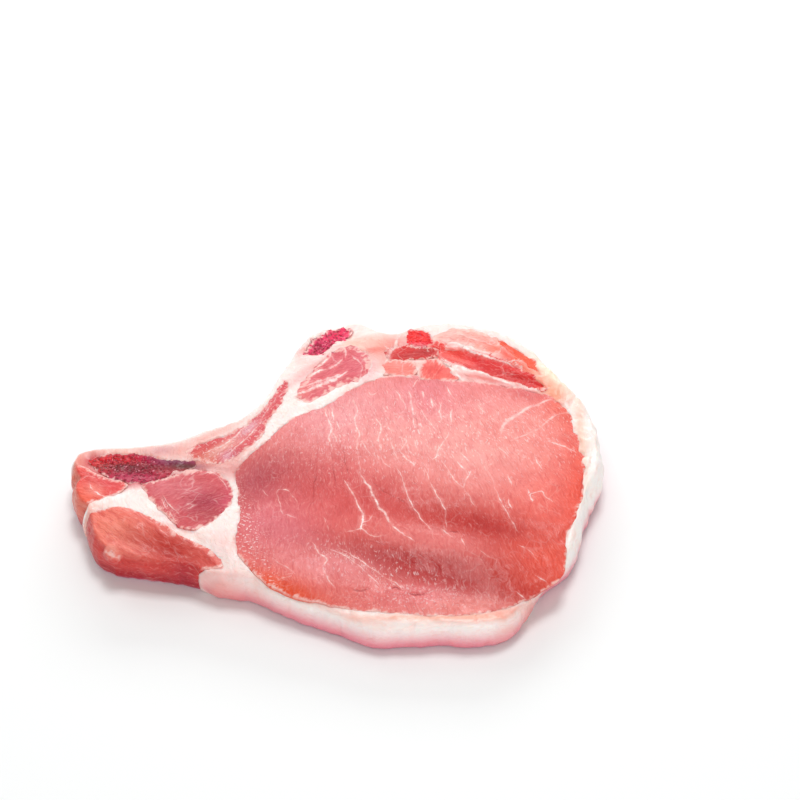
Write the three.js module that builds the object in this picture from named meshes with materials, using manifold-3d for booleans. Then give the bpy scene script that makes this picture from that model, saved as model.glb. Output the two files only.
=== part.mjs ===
// A raw bone-in pork rib chop, lying flat on its cut face. Millimetres, +Z up.
// Every muscle and bone is its own solid that runs right through the slice, as a butcher's cut leaves
// them. The fat that covers the back, and the seams between the muscles, are one solid around them.
import * as THREE from "three";
import { mergeVertices } from "three/addons/utils/BufferGeometryUtils.js";
import Module from "manifold-3d";

const wasm = await Module();
wasm.setup();

// Driving dimensions
const SLICE_THICKNESS = 12.4; // the plain thickness, before the swells
const SEAM_GAP = 0.3; // clearance between two neighbouring pieces
const OUTLINE_STEP = 3.2; // spacing of the facets along an outline
const BODY_STEP = 2.6; // the same along the chop's own outline
const RELIEF_CELL = 3.6; // size of the facets of the upper cut face
const RELIEF_SPAN = [156, 122]; // the relief reaches past the chop on every side
const OVERSHOOT = 6; // how far a cutting shape reaches past the slice

// The wall of the chop from the table up: how far it is drawn in, and its share of the local thickness
const WALL_PROFILE = [
  [1.5, 0],
  [0.6, 0.08],
  [0.1, 0.28],
  [0, 0.5],
  [0.3, 0.74],
  [1.1, 0.91],
  [2.4, 1],
];

// Swells and hollows of the upper face: centre, reach along and across, turn in degrees, height
const SWELLS = [
  { name: "crown of the eye", at: [26, 11], along: 40, across: 15, turn: 0, rise: 1.0 },
  { name: "upper fold", at: [25, -19], along: 26, across: 6.5, turn: -16, rise: -0.9 },
  { name: "ridge between folds", at: [28, -28], along: 15, across: 4.5, turn: -12, rise: 0.5 },
  { name: "lower fold", at: [22, -36], along: 28, across: 5, turn: -14, rise: -0.6 },
  { name: "lower ridge", at: [-5, -34], along: 18, across: 6, turn: -10, rise: 0.3 },
  { name: "dip by the rib", at: [-19, -7], along: 12, across: 10, turn: 0, rise: -0.9 },
  { name: "fall to the back fat", at: [15, -60], along: 62, across: 14, turn: 0, rise: -5.2 },
  { name: "fall at the thin corner", at: [64, -44], along: 16, across: 16, turn: 0, rise: -5.0 },
  { name: "fall beside the flap", at: [-16, -50], along: 20, across: 11, turn: -20, rise: -4.0 },
  { name: "fall of the flap", at: [-52, -34], along: 22, across: 7, turn: -12, rise: -2.4 },
  { name: "swell of the flap", at: [-52, -23], along: 13, across: 5, turn: -24, rise: 1.2 },
];

// The chop seen from above, from the sawn rib end along the inner side, round the back and home
const CHOP_OUTLINE = [
  [-70.5, 3.5], [-66, 5.3], [-57, 6], [-43.5, 8.3], [-37.5, 11.5], [-24, 19], [-14.5, 38.5],
  [-6.5, 50.5], [-1, 51.8], [4.5, 54], [12.5, 50], [17.5, 49.4], [21, 52.2], [37, 53.2], [52.5, 45.5],
  [58, 38], [67, 24.5], [70.3, 16], [71.6, -2.5], [68.8, -9], [66, -16.3], [61.5, -32], [49.5, -46],
  [43.5, -52.3], [27, -53.2], [17, -53.6], [12, -54.2], [5.5, -51.5], [-13, -43.5], [-22, -38.9],
  [-31, -37.7], [-38, -35.2], [-46, -34.2], [-61.2, -28.8], [-67.3, -16], [-70.3, -10], [-71, -4.5],
  [-71.6, 0],
];

// What runs through the slice. Points beyond the chop's outline open a piece to its wall.
// Sunk pieces lie that far below the cut face.
const PIECES = {
  loin_eye: {
    colour: 0xee8078,
    roughness: 0.35,
    outline: [
      [-27.5, -4], [-23, 2.8], [-13, 15], [-2.5, 21.5], [8.5, 30], [17, 32], [31, 29.8], [45, 28],
      [57, 24.5], [62, 20.5], [65.3, 4], [60.2, -27.5], [57.6, -33.4], [46, -46.4], [32, -49.4],
      [4.5, -47.3], [-6, -43.7], [-22, -34.3], [-26.2, -28], [-25.2, -18.5], [-26.5, -9],
    ],
  },
  tail_flap: {
    colour: 0xd9605a,
    roughness: 0.35,
    outline: [
      [-69, -19.5], [-64.5, -18.9], [-60, -17.6], [-55, -17.6], [-49, -20], [-41, -26.5], [-28, -34.6],
      [-32, -35.4], [-36.5, -35.8], [-38.5, -40], [-50, -41], [-64, -38], [-74, -26],
    ],
  },
  rib_side_muscle: {
    colour: 0xc75f66,
    roughness: 0.35,
    outline: [
      [-52, -8.2], [-47, -6.8], [-42, -4.6], [-36.5, -3.2], [-31.5, -4.3], [-28.3, -8.5],
      [-27.8, -14], [-30, -18.5], [-36.5, -23.6], [-41, -22.3], [-45, -17.5], [-49.5, -12.2],
    ],
  },
  rib_bone: {
    colour: 0x8c2038,
    roughness: 0.5,
    sunk: 0.7,
    outline: [
      [-66.2, 0.6], [-54.7, 3.3], [-49, 1.8], [-38.4, -1.4], [-44.5, -3.6], [-52.5, -5.4], [-65, -1.4],
    ],
  },
  end_meat: {
    colour: 0xe8706a,
    roughness: 0.35,
    outline: [
      [-76, -1.5], [-68, -2], [-63.5, -5], [-55.6, -7.8], [-59, -11.4], [-67, -15.4], [-76, -16.5],
    ],
  },
  rib_neck: {
    colour: 0xdc6c70,
    roughness: 0.45,
    sunk: 0.4,
    outline: [
      [-41, 3.4], [-33.5, 8], [-27, 11.2], [-21, 18.3], [-16.5, 26.8], [-14.2, 31.5], [-14.2, 25.5],
      [-21.6, 8.3], [-27.3, 1.2], [-32.7, -0.6], [-38, 0.6],
    ],
  },
  chine_bone: {
    colour: 0xb02848,
    roughness: 0.5,
    sunk: 0.5,
    outline: [[-10, 40.3], [-6.8, 46.8], [-2.9, 49.3], [2.6, 49.3], [-1.1, 45.2], [-4.6, 40.3]],
  },
  deep_back_muscle: {
    colour: 0xdf7076,
    roughness: 0.35,
    outline: [
      [-11.7, 22.8], [-5.1, 37.2], [1.2, 42.9], [6.3, 42], [8.6, 36.4], [6.4, 31.2], [-1, 26.6],
      [-7.3, 22.2],
    ],
  },
  feather_bone: {
    colour: 0xe04858,
    roughness: 0.45,
    sunk: 0.3,
    outline: [[19.6, 48.2], [22.4, 50], [25.3, 48.4], [25.6, 45.2], [22.7, 43.4], [19.8, 45]],
  },
  groove_meat: {
    colour: 0xa83a34,
    roughness: 0.35,
    sunk: 2.6,
    outline: [
      [14.2, 40.4], [17.4, 42.4], [20.6, 42.4], [23.4, 41.8], [26, 42.2], [26.1, 40.6], [17.8, 38.9],
    ],
  },
  small_muscle_inner: {
    colour: 0xee8076,
    roughness: 0.35,
    outline: [[12.4, 35.8], [16.4, 37.4], [21.2, 35.4], [20.6, 33.6], [13.6, 33.8]],
  },
  small_muscle_outer: {
    colour: 0xec7a70,
    roughness: 0.35,
    outline: [[22.8, 34.6], [26, 37.6], [31, 34.2], [30.6, 32], [24.2, 32.2]],
  },
  cap_muscle: {
    colour: 0xd84a48,
    roughness: 0.3,
    sunk: 1.8,
    outline: [[27.8, 42.8], [46.8, 37.2], [58.4, 26.6], [43.6, 30.8], [36.6, 34.8], [27.6, 40.8]],
  },
  cap_sliver: {
    colour: 0xe8443a,
    roughness: 0.3,
    sunk: 1.2,
    outline: [[44.4, 46], [49.6, 42.6], [54.4, 37], [57, 31.8], [53.2, 35.6], [48.4, 40.4]],
  },
  pale_cap_muscle: {
    colour: 0xf3b4a4,
    roughness: 0.4,
    outline: [
      [27.6, 45.8], [30.4, 49.4], [37, 49.9], [42.4, 47.6], [46.2, 41.2], [44, 40.2], [39, 42.8],
      [33, 45.2],
    ],
  },
};
const FAT = { name: "fat_cover", colour: 0xf6dcd0, roughness: 0.4 };

// A rag of flesh that hangs on the flap's edge: centre and half sizes
const FLESH_RAG = { at: [-57.4, -29.4, 8.6], half: [2.8, 2.2, 2.6] };

// The height of the upper cut face above the table
function faceHeight(x, y) {
  return SWELLS.reduce((height, { at, along, across, turn, rise }) => {
    const place = new THREE.Vector2(x - at[0], y - at[1]);
    place.rotateAround(new THREE.Vector2(), -THREE.MathUtils.degToRad(turn));
    return height + rise * Math.exp(-((place.x / along) ** 2) - (place.y / across) ** 2);
  }, SLICE_THICKNESS);
}

// An even loop of points, anticlockwise, on the smooth closed curve through an outline
function loopThrough(outline, step) {
  const corners = outline.map(([x, y]) => new THREE.Vector3(x, y, 0));
  const curve = new THREE.CatmullRomCurve3(corners, true, "centripetal");
  const count = Math.max(12, Math.round(curve.getLength() / step));
  const loop = curve.getSpacedPoints(count).slice(0, count).map(({ x, y }) => new THREE.Vector2(x, y));
  return THREE.ShapeUtils.isClockWise(loop) ? loop.reverse() : loop;
}

// The loop drawn in by a distance, or let out where it is negative
function drawIn(loop, distance) {
  return loop.map((point, i) => {
    const before = loop[(i + loop.length - 1) % loop.length];
    const after = loop[(i + 1) % loop.length];
    const inward = new THREE.Vector2(before.y - after.y, after.x - before.x).normalize();
    return point.clone().addScaledVector(inward, distance);
  });
}

// A closed geometry through rings of equal count, from the lowest up
function loft(rings) {
  const count = rings[0].length;
  const flat = (ring) => ring.map(({ x, y }) => new THREE.Vector2(x, y));
  const bottom = THREE.ShapeUtils.triangulateShape(flat(rings[0]), []);
  const top = THREE.ShapeUtils.triangulateShape(flat(rings.at(-1)), []);
  const index = bottom.flatMap(([a, b, c]) => [c, b, a]);
  for (let level = 0; level + 1 < rings.length; level++) {
    for (let i = 0; i < count; i++) {
      const low = level * count + i;
      const lowNext = level * count + ((i + 1) % count);
      index.push(low, lowNext, lowNext + count, low, lowNext + count, low + count);
    }
  }
  const lid = (rings.length - 1) * count;
  index.push(...top.flatMap((face) => face.map((corner) => corner + lid)));
  return new THREE.BufferGeometry().setFromPoints(rings.flat()).setIndex(index);
}

function toSolid(geometry) {
  const bare = geometry.clone();
  bare.deleteAttribute("normal");
  bare.deleteAttribute("uv");
  const merged = mergeVertices(bare, 1e-4);
  return new wasm.Manifold(
    new wasm.Mesh({
      numProp: 3,
      vertProperties: merged.attributes.position.array,
      triVerts: new Uint32Array(merged.index.array),
    }),
  );
}

// The chop's rounded wall, open to a collar above it that the cut face then trims
function makeEnvelope() {
  const loop = loopThrough(CHOP_OUTLINE, BODY_STEP);
  const rings = WALL_PROFILE.map(([inward, share]) =>
    drawIn(loop, inward).map(({ x, y }) => new THREE.Vector3(x, y, share * faceHeight(x, y))),
  );
  const collar = rings.at(-1).map(({ x, y, z }) => new THREE.Vector3(x, y, z + OVERSHOOT));
  return toSolid(loft([...rings, collar]));
}

// Everything below the cut face, lowered by the depth that a piece is sunk
function makeRelief(sunk) {
  const cells = RELIEF_SPAN.map((span) => Math.round(span / RELIEF_CELL));
  const block = new THREE.BoxGeometry(...RELIEF_SPAN, SLICE_THICKNESS, ...cells, 1);
  const position = block.attributes.position;
  for (let i = 0; i < position.count; i++) {
    const isTop = position.getZ(i) > 0;
    const height = isTop ? faceHeight(position.getX(i), position.getY(i)) - sunk : -OVERSHOOT;
    position.setZ(i, height);
  }
  return toSolid(block);
}

// A straight cutter over an outline, drawn in or let out
function makeCutter(outline, inward) {
  const loop = drawIn(loopThrough(outline, OUTLINE_STEP), inward);
  const ringAt = (z) => loop.map(({ x, y }) => new THREE.Vector3(x, y, z));
  return toSolid(loft([ringAt(-OVERSHOOT), ringAt(SLICE_THICKNESS + 2 * OVERSHOOT)]));
}

function makeFleshRag() {
  const rag = new THREE.SphereGeometry(1, 10, 8);
  rag.scale(...FLESH_RAG.half).translate(...FLESH_RAG.at);
  return toSolid(rag);
}

function toMesh(name, solid, { colour, roughness }) {
  const { numProp, vertProperties, triVerts } = solid.getMesh();
  const corners = Float32Array.from(
    [...triVerts].flatMap((vertex) => [...vertProperties.subarray(vertex * numProp, vertex * numProp + 3)]),
  );
  const geometry = new THREE.BufferGeometry();
  geometry.setAttribute("position", new THREE.BufferAttribute(corners, 3));
  geometry.computeVertexNormals();
  const mesh = new THREE.Mesh(geometry, new THREE.MeshStandardMaterial({ color: colour, roughness }));
  mesh.name = name;
  return mesh;
}

const envelope = makeEnvelope();
const slice = envelope.intersect(makeRelief(0));
const chop = new THREE.Group();
let fat = slice;
for (const [name, piece] of Object.entries(PIECES)) {
  const shell = piece.sunk ? envelope.intersect(makeRelief(piece.sunk)) : slice;
  let solid = shell.intersect(makeCutter(piece.outline, SEAM_GAP / 2));
  if (name === "tail_flap") solid = solid.add(makeFleshRag());
  chop.add(toMesh(name, solid, piece));
  fat = fat.subtract(makeCutter(piece.outline, -SEAM_GAP / 2));
}
chop.add(toMesh(FAT.name, fat, FAT));

// The origin is under the middle of the chop's box
const middle = new THREE.Box3().setFromObject(chop).getCenter(new THREE.Vector3());
chop.children.forEach((mesh) => mesh.geometry.translate(-middle.x, -middle.y, 0));

export default chop;
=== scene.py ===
"""The looks of a raw bone-in pork rib chop that lies on a white table. Lengths are in millimetres."""
import math

import bmesh
import bpy
import numpy as np
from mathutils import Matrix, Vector
from mathutils.bvhtree import BVHTree


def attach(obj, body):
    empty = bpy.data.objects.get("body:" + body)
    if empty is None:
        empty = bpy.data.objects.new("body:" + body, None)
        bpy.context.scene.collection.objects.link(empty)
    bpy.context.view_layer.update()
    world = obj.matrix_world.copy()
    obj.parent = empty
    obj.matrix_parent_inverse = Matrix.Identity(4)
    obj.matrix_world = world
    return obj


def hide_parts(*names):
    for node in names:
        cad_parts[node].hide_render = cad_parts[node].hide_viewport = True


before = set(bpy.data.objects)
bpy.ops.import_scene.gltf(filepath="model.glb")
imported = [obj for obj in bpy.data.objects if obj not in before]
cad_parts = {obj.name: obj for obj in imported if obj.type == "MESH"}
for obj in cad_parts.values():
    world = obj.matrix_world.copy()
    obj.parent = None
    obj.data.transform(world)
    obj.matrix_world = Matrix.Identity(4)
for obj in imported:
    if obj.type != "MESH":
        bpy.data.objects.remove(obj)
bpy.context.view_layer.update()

MM = 0.001  # Blender works in metres

# The photograph's camera
PHOTO_SIDE = 800  # pixels
LENS = 100.0
SENSOR = 36.0
CAMERA_ELEVATION = math.radians(47)
CAMERA_DISTANCE = 622.2
CAMERA_AIM = np.array([17.0, 28.3, 6.5])
AHEAD = np.array([0.0, math.cos(CAMERA_ELEVATION), -math.sin(CAMERA_ELEVATION)])
RIGHTWARD = np.array([1.0, 0.0, 0.0])
UPWARD = np.array([0.0, math.sin(CAMERA_ELEVATION), math.cos(CAMERA_ELEVATION)])
CAMERA_PLACE = CAMERA_AIM - CAMERA_DISTANCE * AHEAD

# The cut face, as the solids have it: its plain height, and its swells and hollows as centre, reach
# along and across, turn in degrees and rise
SLICE_THICKNESS = 12.4
SWELLS = [
    ((26, 11), (40, 15), 0, 1.0),
    ((25, -19), (26, 6.5), -16, -0.9),
    ((28, -28), (15, 4.5), -12, 0.5),
    ((22, -36), (28, 5), -14, -0.6),
    ((-5, -34), (18, 6), -10, 0.3),
    ((-19, -7), (12, 10), 0, -0.9),
    ((15, -60), (62, 14), 0, -5.2),
    ((64, -44), (16, 16), 0, -5.0),
    ((-16, -50), (20, 11), -20, -4.0),
    ((-52, -34), (22, 7), -12, -2.4),
    ((-52, -23), (13, 5), -24, 1.2),
]

# How far the CAD has some pieces below the cut face
CAD_SUNK = {
    "rib_bone": 0.7, "rib_neck": 0.4, "chine_bone": 0.5, "feather_bone": 0.3,
    "groove_meat": 2.6, "cap_muscle": 1.8, "cap_sliver": 1.2,
}

SEAM_CLOSE = 0.42  # how far a piece grows, to meet its neighbour across the solids' seam
RAGGED_SEAM = 0.9  # how unevenly it grows there, as a share of its growth
ROUND_EDGE = 0.7  # radius of the rounding where the cut face meets a seam
CUT_FACE = (-1.3, -0.35)  # height over the cut face where its share of a point starts and is full
OFF_FACE = 5.0  # added to the distance from a seam below the cut face, to keep the seam's film off it
LEAST_WALL = 0.3  # square millimetres; smaller facets of the solids aren't walls
TABLE_CLEARANCE = 0.02


def bell(points, centre, reach, turn):
    """How much of a soft round spot falls on each point, from 0 to 1."""
    angle = math.radians(turn)
    east = points[:, 0] - centre[0]
    north = points[:, 1] - centre[1]
    along = (east * math.cos(angle) + north * math.sin(angle)) / reach[0]
    across = (north * math.cos(angle) - east * math.sin(angle)) / reach[1]
    return np.exp(-along ** 2 - across ** 2)


def face_height(points):
    """Height of the upper cut face at each point."""
    return SLICE_THICKNESS + sum(rise * bell(points, at, reach, turn) for at, reach, turn, rise in SWELLS)


def seen(pixel, height=None):
    """The point that the photograph shows at a pixel, on the cut face or at a given height."""
    side = (pixel[0] - PHOTO_SIDE / 2) * SENSOR / PHOTO_SIDE
    down = (pixel[1] - PHOTO_SIDE / 2) * SENSOR / PHOTO_SIDE
    ray = LENS * AHEAD + side * RIGHTWARD - down * UPWARD
    level = SLICE_THICKNESS if height is None else height
    for _ in range(3):
        point = CAMERA_PLACE + ray * (level - CAMERA_PLACE[2]) / ray[2]
        if height is None:
            level = face_height(point[None, :])[0]
    return point


def spots(points, places):
    """The sum of soft round spots: each has a pixel, a reach along and across, a turn and a strength."""
    return sum(strength * bell(points, seen(pixel), reach, turn) for pixel, reach, turn, strength in places)


# Smooth noise on a lattice, the same on every run
DICE = np.random.RandomState(11)
LATTICE = np.tile(DICE.permutation(256), 2)
LEANS = DICE.normal(size=(256, 3))
LEANS /= np.linalg.norm(LEANS, axis=1)[:, None]


def noise(points, size, seed=0):
    """Smooth noise between about -1 and 1, whose lumps are that size; size is one length or three."""
    place = points / np.asarray(size, float) + 31.7 * seed + 100.0
    cell = np.floor(place).astype(int)
    offset = place - cell
    ease = offset ** 3 * (offset * (offset * 6 - 15) + 10)
    total = np.zeros(len(points))
    for corner in np.ndindex(2, 2, 2):
        index = (cell + corner) & 255
        key = LATTICE[LATTICE[LATTICE[index[:, 0]] + index[:, 1]] + index[:, 2]]
        weight = np.prod(np.where(corner, ease, 1 - ease), axis=1)
        total += weight * np.einsum("ij,ij->i", LEANS[key], offset - corner)
    return 1.7 * total


def smooth_step(values, low, high):
    """A share that rises smoothly from 0 at the low value to 1 at the high one."""
    share = np.clip((values - low) / (high - low), 0, 1)
    return share * share * (3 - 2 * share)


# Lines on the cut face, traced on the photograph: width in millimetres, strength, then pixels.
# First the veins of the eye, with the long ones of its middle
EYE_VEINS = [
    (0.60, 1.0, [(344, 480), (351, 490), (356, 502), (362, 513), (363, 523), (362, 528), (368, 534)]),
    (0.35, 0.7, [(362, 528), (355, 530), (347, 531)]),
    (0.35, 0.6, [(368, 534), (376, 536), (385, 535)]),
    (0.30, 0.6, [(363, 523), (370, 519), (374, 512)]),
    (0.80, 0.9, [(360, 472), (365, 482), (370, 488), (376, 502), (385, 515), (393, 526), (412, 540)]),
    (0.30, 0.5, [(358, 450), (359, 462), (361, 474)]),
    (0.35, 0.8, [(397, 467), (403, 481), (409, 498), (415, 510), (425, 523), (430, 529)]),
    (0.35, 0.7, [(425, 468), (432, 486), (445, 509), (446, 526)]),
    (0.40, 0.8, [(442, 461), (450, 473), (458, 484), (464, 489), (465, 496)]),
    (0.45, 0.9, [(471, 471), (465, 480), (464, 490)]),
    (0.30, 0.7, [(466, 491), (470, 497), (474, 505)]),
    (0.30, 0.6, [(488, 468), (498, 495), (508, 515), (518, 531)]),
    (0.45, 0.9, [(508, 475), (510, 480), (511, 484)]),
    (0.45, 0.9, [(508, 500), (509, 504), (511, 508)]),
    (0.35, 0.8, [(535, 455), (538, 463), (543, 469)]),
    (0.45, 0.9, [(528, 489), (530, 494), (532, 501)]),
    (0.35, 0.7, [(531, 494), (537, 492), (542, 491), (546, 497), (557, 504)]),
    # two broad seams at the far right
    (1.10, 0.6, [(552, 399), (541, 403), (531, 407), (515, 416), (503, 425), (501, 433)]),
    (0.70, 0.5, [(568, 413), (553, 417), (535, 431), (513, 439)]),
    # short ones of the pale far side
    (0.45, 0.9, [(448, 387), (450, 393), (455, 400)]),
    (0.60, 1.0, [(452, 409), (451, 415), (451, 422)]),
    (0.50, 0.9, [(448, 434), (441, 446), (436, 456), (432, 460)]),
    (0.60, 1.0, [(409, 391), (411, 404), (413, 412), (414, 426)]),
    (0.40, 0.8, [(336, 421), (338, 425), (340, 429)]),
    (0.35, 0.8, [(361, 441), (365, 447), (370, 454)]),
    (0.50, 0.9, [(377, 419), (381, 429), (378, 439), (381, 450)]),
    (0.45, 0.9, [(390, 441), (394, 450), (397, 459)]),
    (0.40, 0.8, [(400, 437), (406, 441), (401, 450)]),
    (0.40, 0.9, [(414, 440), (416, 445), (418, 450)]),
    (0.40, 0.9, [(422, 391), (423, 394), (423, 398)]),
    (0.55, 1.0, [(431, 399), (432, 403), (432, 407)]),
    (0.45, 0.9, [(440, 403), (440, 412), (441, 422)]),
    (0.35, 0.7, [(421, 409), (426, 418), (438, 432)]),
    (0.35, 0.8, [(377, 456), (383, 461), (390, 467)]),
    (0.35, 0.7, [(418, 379), (414, 384), (411, 389)]),
    (0.40, 0.8, [(369, 391), (371, 395), (376, 393)]),
    (0.35, 0.8, [(396, 391), (399, 396), (403, 402)]),
    (0.40, 0.8, [(426, 445), (432, 451), (440, 457)]),
    (0.40, 0.9, [(460, 452), (466, 459), (472, 464)]),
    (0.40, 0.8, [(478, 404), (482, 410), (488, 414)]),
    (0.40, 0.8, [(497, 446), (503, 450), (509, 456)]),
    (0.35, 0.8, [(520, 420), (526, 424), (530, 430)]),
    (0.40, 0.9, [(400, 451), (406, 458), (414, 465)]),
    (0.50, 1.0, [(458, 461), (462, 466), (467, 473)]),
    (0.45, 0.9, [(550, 442), (563, 446), (575, 452)]),
    # long ones of the far left shoulder
    (0.50, 1.0, [(326, 406), (327, 417), (331, 426), (331, 432), (329, 439), (332, 449)]),
    (0.50, 1.0, [(332, 410), (333, 415), (333, 420)]),
    (0.40, 0.9, [(334, 434), (336, 438), (337, 442)]),
    (0.50, 1.0, [(354, 401), (357, 410), (355, 418), (356, 426), (359, 434), (357, 442), (357, 449)]),
    (0.40, 0.9, [(391, 442), (394, 449), (397, 458)]),
    (0.35, 0.8, [(402, 455), (408, 461), (414, 466)]),
    # the near left
    (0.45, 0.9, [(313, 544), (318, 551), (326, 558), (324, 567), (327, 578), (333, 587)]),
    (0.35, 0.7, [(331, 549), (345, 556), (357, 564), (368, 573), (378, 584)]),
    (0.30, 0.7, [(340, 549), (355, 557), (370, 567), (382, 575)]),
    (0.30, 0.7, [(385, 578), (394, 583), (403, 587)]),
    # thin ones of the left side
    (0.35, 0.7, [(276, 492), (281, 489), (289, 492), (297, 502)]),
    (0.30, 0.5, [(276, 493), (280, 505), (283, 516)]),
    (0.30, 0.5, [(267, 495), (262, 490), (267, 485)]),
    (0.35, 0.6, [(284, 515), (289, 516), (295, 518)]),
    (0.30, 0.6, [(324, 518), (326, 523), (328, 529)]),
    (0.30, 0.5, [(249, 538), (251, 544), (255, 550)]),
    (0.30, 0.6, [(274, 560), (286, 567), (294, 573)]),
    (0.35, 0.7, [(281, 579), (286, 578), (291, 576)]),
    # by the folds of the near right
    (0.45, 0.8, [(443, 530), (447, 533), (452, 537)]),
    (0.35, 0.7, [(461, 538), (462, 541), (464, 545)]),
    (0.40, 0.8, [(537, 577), (541, 580), (546, 583)]),
    (0.40, 0.7, [(517, 593), (521, 596), (525, 599)]),
    (0.30, 0.6, [(520, 545), (530, 552), (538, 562)]),
    (0.30, 0.5, [(480, 550), (487, 556), (496, 560)]),
]

# White strands of the rib's neck
NECK_STRANDS = [
    (0.50, 0.8, [(206, 452), (222, 446), (236, 436), (247, 424)]),
    (0.45, 0.8, [(226, 456), (240, 443), (254, 430), (265, 414), (276, 398)]),
    (0.40, 0.6, [(250, 418), (262, 410), (272, 397), (281, 388)]),
]

# Cream stripes of the deep back muscle
CREAM_STRIPES = [
    (1.30, 1.0, [(292, 397), (304, 392), (318, 387), (336, 379), (347, 372)]),
    (1.10, 1.0, [(299, 388), (310, 385), (324, 381), (340, 375)]),
    (1.00, 1.0, [(309, 377), (320, 371), (334, 367), (341, 361)]),
    (0.80, 0.8, [(314, 369), (324, 363), (333, 352)]),
    (0.60, 0.7, [(343, 346), (346, 352), (345, 358)]),
    (0.60, 0.8, [(294, 404), (303, 404), (309, 402)]),
    (0.50, 0.6, [(352, 382), (346, 385), (340, 388)]),
]

# Membranes of the end meat and of the muscle beside the rib
MEMBRANES = [
    (0.60, 0.9, [(90, 485), (93, 490), (98, 494), (104, 497)]),
    (0.40, 0.6, [(84, 479), (88, 477), (94, 478)]),
    (0.70, 0.9, [(147, 503), (151, 508), (155, 512)]),
    (0.60, 0.9, [(158, 505), (161, 512), (167, 520), (174, 525)]),
    (0.40, 0.8, [(161, 500), (166, 508), (171, 514), (175, 520)]),
    (0.40, 0.6, [(164, 497), (170, 506), (178, 514)]),
    (0.45, 0.5, [(186, 505), (190, 503), (192, 507), (188, 510)]),
    (0.35, 0.6, [(200, 474), (212, 473), (222, 481), (228, 492)]),
]
VEINS = EYE_VEINS + NECK_STRANDS + CREAM_STRIPES + MEMBRANES

# White ridges that stand up like frills between the cap's muscles, and strings of fat beside them
FRILLS = [
    (0.9, 1.0, [(443, 343), (449, 347), (460, 346), (474, 353), (487, 357), (500, 361), (512, 366)]),
    (1.1, 1.0, [(442, 356), (449, 362), (458, 367), (470, 371), (482, 373), (492, 377), (505, 382),
                (522, 388)]),
    (0.9, 0.8, [(399, 338), (396, 345), (391, 352), (388, 358)]),
    (0.8, 0.8, [(386, 346), (390, 352), (386, 362)]),
    (0.8, 0.6, [(388, 378), (398, 376), (412, 377), (421, 379)]),
    (0.9, 0.8, [(442, 361), (448, 367), (459, 377), (468, 382)]),
    (0.6, 0.6, [(455, 334), (470, 338), (484, 343), (496, 346)]),
    (0.6, 0.6, [(352, 356), (362, 366), (360, 380)]),
    (0.6, 0.6, [(366, 354), (371, 364), (367, 376)]),
    (0.5, 0.6, [(350, 346), (358, 352), (367, 352)]),
]

# Shallow creases of the lean
LEAN_CREASES = [
    (0.35, 0.6, [(366, 541), (389, 545), (403, 553), (414, 564)]),
    (0.35, 0.6, [(418, 554), (432, 561), (441, 571), (446, 578)]),
    (0.30, 0.5, [(332, 451), (335, 476), (337, 492)]),
    (0.30, 0.5, [(316, 457), (317, 470), (314, 488), (313, 505)]),
    (0.30, 0.4, [(342, 446), (345, 460), (350, 477)]),
    (0.35, 0.6, [(372, 482), (383, 491), (395, 497), (405, 503)]),
    (0.50, 0.6, [(416, 417), (417, 422), (417, 427)]),
    (0.50, 0.8, [(446, 532), (452, 531), (458, 531)]),
    (0.60, 0.9, [(353, 590), (360, 591), (368, 590)]),
    (0.60, 0.9, [(407, 593), (416, 595), (424, 594), (430, 592)]),
    (0.40, 0.6, [(391, 589), (396, 587), (401, 589)]),
    (0.40, 0.5, [(163, 496), (166, 503), (172, 509)]),
    (0.45, 0.6, [(180, 502), (186, 497), (192, 500)]),
    (0.60, 0.8, [(168, 468), (176, 468), (186, 470)]),
]

# Folds between the lobes of the back fat
FAT_FOLDS = [
    (0.50, 0.7, [(592, 450), (588, 466), (583, 480), (580, 496)]),
    (0.50, 0.7, [(600, 426), (603, 444), (600, 462), (594, 478)]),
    (0.40, 0.6, [(574, 540), (571, 556), (565, 570)]),
    (0.40, 0.6, [(581, 396), (589, 408), (594, 420)]),
    (0.40, 0.6, [(462, 628), (490, 626), (515, 616), (532, 606)]),
    (0.40, 0.5, [(340, 620), (365, 628), (392, 632)]),
]
CREASES = LEAN_CREASES + FAT_FOLDS

LINE_REACH = 5.0  # how far from a line a point is still measured
LINE_FADE = 1.3  # how far to its sides a line's mark fades


def smooth_route(pixels, steps=4):
    """Points on the smooth curve through traced pixels, on the cut face."""
    corners = np.array([seen(pixel) for pixel in pixels])
    ends = np.vstack([2 * corners[0] - corners[1], corners, 2 * corners[-1] - corners[-2]])
    route = []
    for i in range(len(corners) - 1):
        a, b, c, d = ends[i:i + 4]
        for t in np.linspace(0, 1, steps, endpoint=False):
            route.append(0.5 * (2 * b + (c - a) * t + (2 * a - 5 * b + 4 * c - d) * t ** 2
                                + (3 * b - a - 3 * c + d) * t ** 3))
    return np.array(route + [corners[-1]])[:, :2]


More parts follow.
